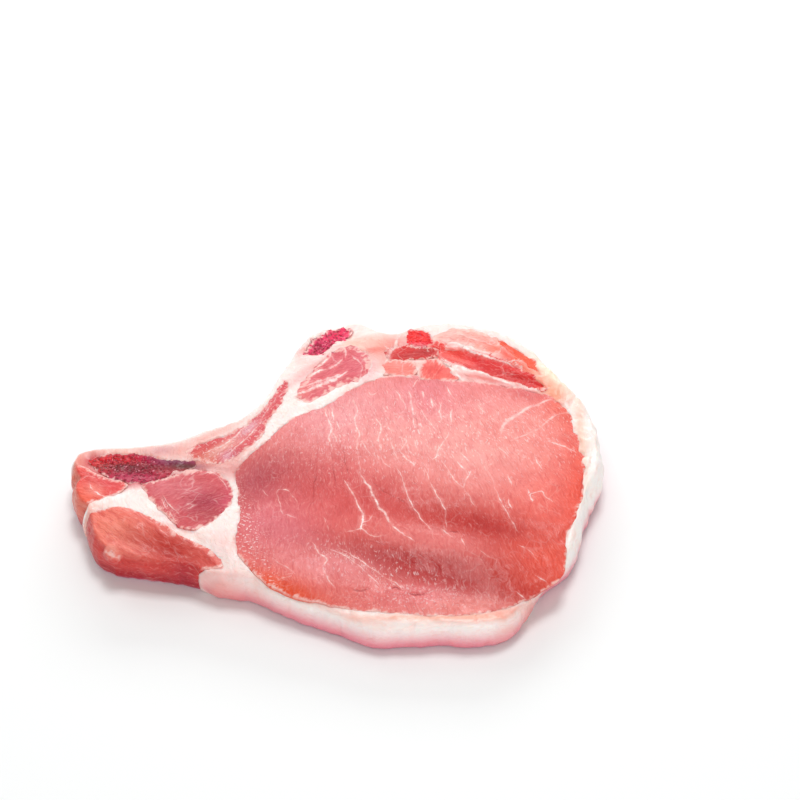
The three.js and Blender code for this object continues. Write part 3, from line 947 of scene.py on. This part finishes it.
# Tints of the eye: what each is, its pixel, how far it reaches along and across, its turn in degrees,
# its colour as the photograph shows it, and its strength
EYE_TINTS = [
    # Painted sheen: the wet gloss's pale haze on the far side of the eye's crown
    ("far flesh under painted sheen", (430, 412), (40, 17), 0, "#f8a0a2", 0.95),
    ("mauve far middle", (428, 405), (9, 14), 0, "#ea7c88", 0.8),
    ("red below the left shoulder", (350, 472), (11, 8), 0, "#e66a6a", 0.6),
    # Painted sheen, as above
    ("far flesh under painted sheen, left", (335, 415), (16, 13), 20, "#f5a8ab", 0.8),
    # Painted shade in the hollow by the rib
    ("painted shade in the hollow by the rib", (262, 482), (11, 9), 35, "#a94c5c", 0.9),
    ("shade below the corner", (300, 480), (12, 8), 10, "#c85a5c", 0.7),
    ("mauve left side", (275, 525), (13, 9), 0, "#dc727e", 0.7),
    ("pale streak in the left", (300, 535), (10, 4), -25, "#e68c92", 0.5),
    # Painted shade: the folds' troughs are darkened where shade falls, over the lean's deeper red
    ("upper fold", (470, 520), (26, 7), -14, "#c0302a", 0.9),
    ("upper fold, left end", (375, 500), (13, 8), -10, "#d04e4c", 0.7),
    ("lower fold", (400, 560), (28, 7), -12, "#b23032", 0.9),
    ("lower fold, right end", (480, 580), (19, 8), -8, "#b02c2c", 0.9),
    ("fold towards the corner", (508, 568), (12, 8), -10, "#c8443c", 0.7),
    # Painted light on the ridges' lit tops
    ("ridge between the folds", (435, 541), (15, 3.6), -14, "#ee8c88", 0.75),
    ("lower ridge", (325, 563), (14, 5), -12, "#f29c9e", 0.8),
    ("warm rim by the back fat", (576, 470), (4.5, 28), 0, "#f04a2c", 1.0),
    ("red right side", (548, 475), (11, 22), 0, "#f46a5c", 0.75),
    ("warm lower right", (553, 560), (11, 11), 45, "#ee6250", 0.8),
    ("warm lower left rim", (285, 592), (14, 3.5), -28, "#f0603c", 0.9),
    ("pale near rim", (430, 610), (28, 3.5), 0, "#f2938a", 0.7),
    ("pink near the slits", (415, 598), (12, 4), 0, "#f48c92", 0.6),
    ("pink near right", (460, 608), (14, 3), 0, "#f69a94", 0.7),
    ("pink middle left", (275, 522), (8, 8), 0, "#ea8e98", 0.5),
    ("dark wedge by the cap", (532, 396), (8, 2.4), -12, "#dc5a60", 0.85),
    ("warm corner by the cap", (562, 408), (6, 6), 0, "#f4603e", 0.7),
    # Painted sheen on the crown of the eye
    ("painted sheen by the veins", (468, 448), (20, 13), -10, "#ffb8b2", 0.85),
    ("painted sheen on the right shoulder", (512, 430), (16, 13), 0, "#fda69e", 0.7),
    ("painted sheen on the left shoulder", (395, 440), (12, 10), 0, "#fcb0aa", 0.6),
    ("red middle", (325, 500), (20, 13), 0, "#dc5e60", 0.45),
    # Painted shade deepens the folds' hearts
    ("deep heart of the upper fold", (490, 528), (12, 3.5), -14, "#b93634", 0.6),
    ("deep heart of the lower fold", (420, 566), (14, 3), -14, "#b94242", 0.5),
]

# Where the eye's cut face has short wet dashes of painted glint, and where it has specks of grain with
# painted sparkle
EYE_GLINT_STROKES = [((430, 430), (46, 16), 0, 0.6), ((380, 570), (25, 7), -20, 0.45)]
EYE_SPARKLE_BEADS = [((246, 530), (4, 22), 20, 0.8), ((415, 600), (16, 4), 0, 0.5), ((340, 430), (14, 16), 0, 0.2)]


def make_loin_eye():
    """The large eye of lean."""
    obj, points, edge, top = carve("loin_eye", "loin_eye_lean", 0.45, eye_relief)
    colours = paint(points, "#ee7f78", EYE_TINTS)
    lap_fat(colours, points, edge, top, 0.45)
    grain = fan_grain(points, EYE_HUB, EYE_RADIUS)
    mark(obj, points, top, colours, grain, spots(points, EYE_GLINT_STROKES), spots(points, EYE_SPARKLE_BEADS))
    settle(obj, "loin_eye", raw_lean("raw_pork_loin", network=0.09))


# Where the fat dips under a lean or bone that reaches over it: a pixel, how far around it, and the turn
FAT_DIPS = [
    ((553, 577), (4, 9), -34),
    ((283, 590), (12, 3), -28),
    ((91, 463), (3, 3), 0),
    ((190, 465), (3, 2), 0),
    ((436, 343), (3, 3), 0),
    ((403, 376), (7, 1.6), 0),
    ((446, 379), (9, 1.6), -12),
    ((415, 355), (9, 3), 0),
    ((428, 349), (4, 2.5), 0),
    ((578, 478), (2, 13), 0),
    ((128, 478), (13, 3), 0),
    ((346, 334), (4, 2.5), 0),
    ((196, 541), (12, 2.8), -44),
    ((113, 514), (7, 1.6), 0),
    ((106, 490), (6, 1.6), 0),
]
FAT_DIP_DEPTH = 0.7

# Where the back fat is lumpy: by the cap, and along the right side
FAT_LUMPS = [
    ((560, 385), (14, 22), 30, 0.4),
    ((588, 460), (8, 32), 0, 0.5),
]


def fat_relief(points, edge):
    """Soft swells and lumps with folds between them, lower along the seams and under what laps over it."""
    flat = points * (1, 1, 0)
    swell = 0.4 * (1 - np.exp(-edge / 1.6)) - 0.03
    lumps = spots(points, FAT_LUMPS) * noise(flat, 3.0, 16)
    under = FAT_DIP_DEPTH * sum(bell(points, seen(pixel), reach, turn) for pixel, reach, turn in FAT_DIPS)
    fold_side, fold_near = line_marks(points, CREASES)
    folds = 0.45 * fold_near * ridge(fold_side, 2.0)
    return swell + lumps - folds - under + 0.22 * noise(flat, 5.0, 7) + 0.1 * noise(flat, 1.8, 8)


# Tints of the fat, and of the flesh that shows at its seams
FAT_TINTS = [
    ("peach left end", (80, 464), (4, 7), 0, "#f6a48e", 0.9),
    ("peach strip over the sawn rib", (125, 452), (14, 1.8), 2, "#f3b6a8", 0.8),
    ("pink strip over the rib", (175, 452), (12, 2.5), 8, "#eeb2ab", 0.8),
    ("mauve in the strip", (162, 451), (4, 1.6), 8, "#c98a98", 0.5),
    ("flesh between rib end and meat", (107, 474), (9, 2.6), -18, "#e06c6c", 1.0),
    ("flesh under the sawn rib", (148, 480), (12, 2.2), 8, "#d65c66", 0.95),
    ("flesh by the rib's tip", (196, 470), (5, 2), 10, "#d98083", 0.7),
    ("peach joint of the rib", (212, 459), (8, 4), 15, "#de6e5e", 1.0),
    ("rosy corner of the joint", (234, 470), (5, 3.4), 20, "#dc8480", 0.8),
    ("pink below the side muscle", (172, 522), (5, 2), -40, "#f0a4a4", 0.6),
    ("pink under the rib neck", (236, 452), (6, 2), 40, "#f3b5ac", 0.7),
    ("inner side by the neck", (208, 438), (12, 2.2), 34, "#efaca2", 0.8),
    ("seam between chine and meat", (322, 362), (9, 1.3), 38, "#f0a6a2", 0.7),
    ("red shade beside the chine", (304, 352), (2.5, 4), -20, "#f29a98", 0.6),
    ("pink string by the striped meat", (300, 378), (7, 1.4), 48, "#f0a4a4", 0.6),
    ("flesh beside the striped meat", (349, 372), (2, 6), 0, "#f4b0a6", 0.6),
    ("orange fat by the groove", (380, 347), (5, 4), 20, "#f89880", 0.85),
    ("red string by the groove", (371, 351), (4, 1.2), 8, "#f4665a", 0.8),
    # Peach fat darkened with painted shade in the hollow
    ("peach tint and painted shade in the cream mass's hollow", (352, 345), (5, 3), -30, "#fcc8ac", 0.5),
    ("bright band at the right", (591, 455), (4.5, 20), 0, "#fffaf6", 0.8),
    ("pink lobe of the cream mass", (376, 342), (5, 2.2), 0, "#fcc5b8", 0.7),
    ("pink strings by the groove", (396, 343), (4, 2.5), 0, "#f7a39b", 0.7),
    ("pink fat by the groove", (385, 362), (4, 4), 0, "#f7a9a0", 0.7),
    ("red about the groove", (411, 352), (7, 3.6), 0, "#dc443a", 1.0),
    # Painted shadow under the feather bone
    ("dark red painted shadow under the feather bone", (431, 346), (2.4, 3.4), 20, "#b0080e", 1.0),
    ("pink over the small muscles", (413, 365), (9, 1.2), 0, "#f9b4a8", 0.7),
    ("pink by the flap's tip", (232, 546), (7, 4), -30, "#f6cdc9", 0.8),
    ("red between the small muscles", (437, 362), (3, 2), 0, "#f98c80", 0.6),
    ("pink by the small muscles", (460, 383), (6, 1.4), -8, "#f6b0a6", 0.7),
    ("red under the cap", (462, 366), (8, 1.3), -25, "#ec6664", 0.85),
    ("flesh strip under the cap", (484, 379), (10, 1.4), -14, "#e4625a", 0.9),
    ("flesh strip under the cap, lower", (482, 384), (10, 1.2), -14, "#f0a8a2", 0.7),
    ("wedge under the cap, right", (528, 393), (9, 1.6), -18, "#e86c74", 0.9),
    ("red over the cap", (470, 353), (14, 1.8), -20, "#fb6a5e", 0.95),
    ("orange between the cap's parts", (509, 356), (6, 2.2), -50, "#f8604a", 1.0),
    ("orange by the cap's tip", (526, 369), (9, 2.4), -50, "#f23a24", 1.0),
    ("orange beyond the sliver", (546, 384), (5, 2.0), -50, "#f8502e", 0.9),
    ("mauve strings by the striped meat", (366, 368), (3, 5), 0, "#e88a94", 0.7),
    ("pink seam over the striped meat", (330, 350), (9, 1.4), 38, "#f4b8b4", 0.6),
    ("orange tip of the cap", (554, 395), (4, 3), -40, "#f4845c", 0.9),
    ("pink shade of the cream mass", (360, 340), (5, 1.6), 10, "#f8c0ae", 0.4),
    ("yellow fat by the cap", (560, 372), (9, 7), -50, "#fdeccb", 0.8),
    ("warm line along the eye", (581, 440), (1.6, 18), 0, "#f8a878", 0.5),
    ("crimson by the sawn rib", (94, 460), (3.2, 2.6), 0, "#d01838", 1.0),
    # Painted shade in the slit by the rib's tip
    ("painted shade in the slit by the rib's tip", (190, 466), (5, 1.3), -4, "#9c5a6c", 0.9),
    ("flesh along the near rim", (500, 613), (12, 1.5), 12, "#f5a08c", 0.8),
    ("orange line along the near rim", (440, 617), (24, 0.9), 0, "#f69f80", 0.8),
    ("pink band below the eye", (315, 604), (18, 2), -24, "#f4bcb0", 0.6),
    ("pink shade of the outer lobe", (215, 588), (16, 3), -14, "#e9a3a8", 0.6),
    ("membrane at the flap", (84, 512), (5, 6), 0, "#f09a88", 0.7),
]

# Tints over the rim of its wall, and the wall's colours under its rim, near the table and at its foot
RIM_TINTS = [
    ("lean at the thin corner, lower", (538, 598), (7, 1.4), 40, "#f08c7c", 0.7),
    ("pink shade of the outer lobe", (217, 583), (12, 3.2), -14, "#e8948e", 0.9),
    ("rosy fold at the near corner", (505, 630), (5, 2), 30, "#f0b0a8", 0.5),
]
FAT_WALL = ("#fff4f0", "#e98a98", "#c86484")

# The layers of the fat run round the chop's middle
FAT_HUB = (5.0, -5.0)
FAT_RADIUS = 55.0


def make_fat_cover():
    """The back fat, with the seams of fat between the muscles. Its outer wall is painted as a wall; its
    walls along the seams keep the colour of the cut face."""
    lean = [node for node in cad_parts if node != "fat_cover"]
    obj, points, seam, top = carve("fat_cover", "back_fat_and_seams", 0.5, fat_relief, seams=lean)
    outer = 1 - (1 - top) * smooth_step(seam, 0.8, 1.6)
    colours = paint(points, "#fdece7", FAT_TINTS, FAT_WALL, outer, 0.01, RIM_TINTS)
    mark(obj, points, top, colours, ring_grain(points, FAT_HUB, FAT_RADIUS))
    settle(obj, "fat_cover", raw_fat("pork_back_fat"))


def small_relief(points, edge):
    """A small muscle swells a little between its seams, and its membranes stand proud."""
    flat = points * (1, 1, 0)
    vein_side, vein_near = line_marks(points, VEINS)
    lift = 0.1 * noise(flat, 3.0, 9) + 0.06 * noise(flat, 1.2, 10) + 0.25 * (1 - np.exp(-edge / 1.2))
    return lift + 0.12 * vein_near * ridge(vein_side, 1.5)


# The flap's crest, the knob on it and the hollow behind it
FLAP_SWELLS = [
    ((125, 551), (12, 1.6), -18, 0.7),
    ((113, 551), (1.3, 1.3), 0, 1.2),
    ((165, 548), (10, 2.6), -24, -1.1),
]


def flap_relief(points, edge):
    """Coarse bundles run along the flap."""
    fibres = straight_grain(points, -40)
    lift = 0.22 * noise(fibres, (1.6, 10.0, 6.0), 17) + 0.3 * noise(points * (1, 1, 0), 5.0, 18)
    return lift + spots(points, FLAP_SWELLS)


def pitted_relief(points, edge):
    """The open pores of a sawn bone."""
    flat = points * (1, 1, 0)
    return 0.22 * noise(flat, 0.9, 12) + 0.12 * noise(flat, 2.0, 13)


def hatched_relief(points, edge):
    """Long ridges along the cap muscle, with fine ribs across them."""
    along = straight_grain(points, -25)
    ribs = straight_grain(points, 62)
    return 0.4 * noise(along, (2.0, 16.0, 9.0), 14) + 0.1 * noise(ribs, (0.9, 5.0, 5.0), 15)


# Each small piece: its name, the cell of its mesh, how far it grows past the CAD node, the depth it is
# sunk, its relief, its base colour, which way its fibres run in degrees, and its slot
SMALL_PIECES = {
    "tail_flap": ("belly_flap_lean", 0.4, 0.28, 0.0, flap_relief, "#f08076", -40, "lean_flap"),
    "rib_side_muscle": ("rib_side_lean", 0.35, 0.5, 0.0, small_relief, "#dc666c", 25, "lean_dark"),
    "rib_bone": ("sawn_rib", 0.3, 0.7, 0.5, pitted_relief, "#c02048", 0, "spongy_bone"),
    "end_meat": ("rib_end_lean", 0.35, 0.28, 0.0, small_relief, "#ee665e", -20, "lean_flap"),
    "rib_neck": ("rib_neck_lean", 0.35, 0.5, 0.3, small_relief, "#e4646c", 45, "bone_rim"),
    "chine_bone": ("sawn_chine", 0.3, 0.8, 0.3, pitted_relief, "#fa5078", 40, "spongy_bone"),
    "deep_back_muscle": ("deep_back_lean", 0.35, 0.9, 0.0, small_relief, "#e46c78", 30, "lean_striped"),
    "feather_bone": ("feather_bone_end", 0.25, 0.5, 0.1, pitted_relief, "#fc1030", 0, "bone_rim"),
    "groove_meat": ("groove_lean", 0.3, 1.15, 0.4, small_relief, "#e2281e", 0, "lean_cap"),
    "small_muscle_inner": ("small_lean_inner", 0.3, 0.8, 0.0, small_relief, "#fb9288", 0, "lean_pale"),
    "small_muscle_outer": ("small_lean_outer", 0.3, 0.9, 0.0, small_relief, "#fa7a72", 70, "lean_pale"),
    "cap_muscle": ("cap_lean", 0.35, 1.5, 0.4, hatched_relief, "#ec3438", -25, "lean_cap"),
    "cap_sliver": ("cap_lean_sliver", 0.3, 0.8, 0.1, small_relief, "#fc6a50", -50, "lean_cap"),
    "pale_cap_muscle": ("pale_cap_lean", 0.35, 1.0, 0.0, small_relief, "#fdc2b6", -12, "lean_pale"),
}

# Their tints
SMALL_TINTS = {
    "tail_flap": [
        ("warm crown", (115, 525), (9, 6), -30, "#fb8a72", 0.8),
        ("pale knob", (113, 551), (1.8, 1.8), 0, "#fbb0a0", 0.8),
        ("pale fibres", (125, 535), (8, 5), -40, "#f9a596", 0.5),
        # The hollow's red, darkened with painted shade
        ("red hollow with painted shade", (168, 550), (11, 5), -28, "#c64440", 0.85),
    ],
    "rib_side_muscle": [
        ("dark middle", (205, 503), (6, 5), 0, "#a83650", 0.75),
        ("brown lower right", (214, 515), (5, 4), 0, "#b84850", 0.6),
        ("pink left", (172, 488), (8, 4), 10, "#e08088", 0.7),
        ("red right rim", (232, 500), (3, 7), 0, "#d8546c", 0.7),
    ],
    "rib_bone": [
        ("crimson end", (98, 463), (6, 4), 0, "#e80838", 1.0),
        ("dark middle", (128, 466), (9, 2.6), 0, "#74103c", 0.9),
        ("crimson far edge", (122, 459), (11, 1.3), 0, "#e01440", 0.9),
        ("rosy near edge", (132, 478), (7, 2), 0, "#c45068", 0.7),
        ("smooth lilac end", (174, 461), (7, 1.5), -8, "#a06880", 0.9),
        # Painted shade in the slit at the rib's end
        ("painted shade in the slit at the rib's end", (186, 466), (7, 1.8), -8, "#64142c", 0.95),
    ],
    "end_meat": [
        ("pink upper", (102, 484), (6, 4), -20, "#e24c56", 0.9),
        ("orange end", (84, 499), (5, 5), 0, "#fc6a4e", 0.85),
        ("pale film", (93, 491), (3, 3), -30, "#f9b4a6", 0.4),
    ],
    "rib_neck": [
        ("peach end", (204, 460), (8, 4.5), 20, "#dc6858", 0.9),
        ("pale middle", (222, 448), (6, 1.6), 40, "#f6c0b4", 0.8),
        ("lilac strings", (229, 456), (2.4, 2), 40, "#f0c0d0", 0.8),
        ("lilac strings, upper", (249, 428), (3.6, 1.2), 52, "#f4c4d0", 0.85),
        ("dark red among the strings", (237, 455), (3, 2), 40, "#cc3c50", 0.7),
    ],
    "chine_bone": [
        ("dark heart", (320, 346), (3, 2.5), 30, "#a01c44", 0.6),
        ("bright end", (338, 333), (4, 2), 20, "#f0305a", 0.8),
    ],
    "deep_back_muscle": [("pale left tip", (300, 392), (6, 3), 30, "#f28a84", 0.6)],
    "feather_bone": [("pale ring", (418, 348), (6, 1.6), 0, "#f8b4b8", 0.7)],
    "groove_meat": [
        ("dark middle", (408, 356), (4, 1.4), 0, "#b03c30", 0.6),
        ("crimson right end", (427, 351), (4, 2), 0, "#c00c14", 0.9),
    ],
    "small_muscle_outer": [("red middle", (436, 371), (4, 2), 0, "#f45c58", 0.6)],
    "cap_muscle": [
        ("warm left end", (452, 351), (6, 3), -20, "#fb5648", 0.8),
        ("pale streak in the left", (460, 360), (6, 1.2), -28, "#fc8478", 0.7),
        ("deep right half", (518, 379), (13, 3.4), -28, "#d6202e", 0.9),
        ("warm tip", (548, 392), (4, 3), -30, "#f0604c", 0.7),
    ],
    "pale_cap_muscle": [
        ("cream left", (447, 335), (5, 2.5), 0, "#fee0d6", 0.8),
        ("pink middle", (470, 342), (9, 1.6), -14, "#fcaca2", 0.7),
        ("red right end", (497, 350), (5, 2.2), -35, "#fe7660", 0.8),
    ],
}

# Walls that show, with their colours under the rim, near the table and at the foot, and tints over them
WALLS = {
    "tail_flap": ("#d85450", "#b83a42", "#d480a0"),
    "end_meat": ("#ea8472", "#cf5e66", "#d07898"),
}
WALL_TINTS = {"tail_flap": [("dark spot by the fat", (181, 574), (4, 3.4), 0, "#a02c40", 0.85)]}

# How far the fat laps over the pieces' rims, where it isn't the usual reach
USUAL_LAP = 0.9
LAPS = {
    "deep_back_muscle": 1.8, "rib_neck": 1.0, "rib_bone": 0.1, "chine_bone": 0.5, "feather_bone": 0.3,
    "cap_sliver": 0.3, "pale_cap_muscle": 1.4, "groove_meat": 0.1, "small_muscle_inner": 0.6,
    "small_muscle_outer": 0.6, "cap_muscle": 0.5,
}

# Where the saw left a bone smooth, and where its marrow has no chips
SMOOTH_SPOTS = {"rib_bone": [((184, 464), (9, 4), -8, 1.0)]}
BARE_SPOTS = [((97, 462), (5, 4), 0, 1.0)]
CHIPS_IN_FROM_RIM = 1.1


def make_small_pieces():
    """Every muscle and bone but the eye, each with its finish, and chips in the sawn bones' marrow."""
    lean_red = raw_lean("raw_pork_lean", (0.45, 5.0), 0.7, 0.2)
    lean_flap = raw_lean("raw_belly_lean", (0.9, 10.0), 0.8, 0.1)
    bone_red = sawn_bone("sawn_pork_bone", 0.9, "#ad617c")
    bone_pale = sawn_bone("sawn_gristly_bone", 0.8, "#ed89a0")
    finishes = {"rib_bone": bone_red, "chine_bone": bone_red, "feather_bone": bone_pale,
                "tail_flap": lean_flap, "end_meat": lean_flap}
    chips = chip_tree(marrow_chip())
    for node, (name, cell, grow, sunk, relief, base, degrees, slot) in SMALL_PIECES.items():
        obj, points, edge, top = carve(node, name, cell, relief, sunk, grow)
        over = WALL_TINTS.get(node, ())
        colours = paint(points, base, SMALL_TINTS.get(node, ()), WALLS.get(node), top, over=over)
        lap_fat(colours, points, edge, top, LAPS.get(node, USUAL_LAP))
        # The rib neck's grain gets pale specks of painted sparkle too
        sparkle_beads = 0.5 if node == "rib_neck" else 0.0
        smooth = spots(points, SMOOTH_SPOTS.get(node, ()))
        mark(obj, points, top, colours, straight_grain(points, degrees), 0.0, sparkle_beads, smooth)
        settle(obj, node, finishes.get(node, lean_red))
        if finishes.get(node) == bone_red:
            loose = (edge > CHIPS_IN_FROM_RIM) * (1 - 2 * smooth) * (1 - spots(points, BARE_SPOTS))
            keep(obj, "chips", np.clip(top * loose, 0, 1))
            scatter_chips(obj, node, name + "_chips", chips)


TABLE_HALF = 4.0  # metres


def make_table():
    """White laminate: smooth and nearly matt, so that it shows soft shadows and hardly a reflection. The
    table runs out of sight."""
    material, tree = new_tree("white_laminate")
    shader = add(tree, "ShaderNodeBsdfPrincipled", {}, {
        "Base Color": rgba("#f6f8f8"), "Roughness": 0.6, "Specular IOR Level": 0.2})
    add(tree, "ShaderNodeOutputMaterial", {}, {"Surface": shader.outputs[0]})
    mesh = bpy.data.meshes.new("table")
    corners = [(x * TABLE_HALF, y * TABLE_HALF, 0) for x, y in ((-1, -1), (1, -1), (1, 1), (-1, 1))]
    mesh.from_pydata(corners, [], [(0, 1, 2, 3)])
    table = bpy.data.objects.new("table", mesh)
    bpy.context.scene.collection.objects.link(table)
    table.data.materials.append(material)


def place_camera():
    """The camera looks down on the chop from the near side, as the photograph's did."""
    camera = bpy.data.cameras.new("camera")
    camera.lens = LENS
    camera.sensor_width = SENSOR
    obj = bpy.data.objects.new("camera", camera)
    obj.location = CAMERA_PLACE * MM
    obj.rotation_euler = (math.pi / 2 - CAMERA_ELEVATION, 0, 0)
    bpy.context.scene.collection.objects.link(obj)
    bpy.context.scene.camera = obj


def place_light(name, place, power, size):
    """A softbox that faces the chop."""
    light = bpy.data.lights.new(name, "AREA")
    light.shape = "RECTANGLE"
    light.size, light.size_y = size
    light.energy = power
    obj = bpy.data.objects.new(name, light)
    obj.location = place
    obj.rotation_euler = (Vector((0, 0, 0)) - Vector(place)).to_track_quat("-Z", "Y").to_euler()
    bpy.context.scene.collection.objects.link(obj)


# Each softbox: its name, its place in metres, its power in watts, and its width and height in metres
SOFTBOXES = [
    ("far softbox", (0.05, 1.05, 0.46), 5.0, (0.9, 0.3)),
    ("back left softbox", (-0.6, 0.8, 0.75), 1.9, (0.5, 0.5)),
    ("overhead softbox", (0.08, 0.32, 1.08), 5.1, (0.34, 0.34)),
    ("near fill", (0.15, -0.95, 0.24), 3.2, (0.9, 0.3)),
]


def light_studio():
    """A pale even studio with four softboxes."""
    world = bpy.data.worlds.new("studio")
    world.use_nodes = True
    background = world.node_tree.nodes["Background"]
    background.inputs["Color"].default_value = rgba("#fffdfc")
    background.inputs["Strength"].default_value = 0.46
    bpy.context.scene.world = world
    for name, place, power, size in SOFTBOXES:
        place_light(name, place, power, size)
    bpy.context.scene.view_settings.view_transform = "Standard"


place_camera()
light_studio()
make_table()
make_loin_eye()
make_fat_cover()
make_small_pieces()
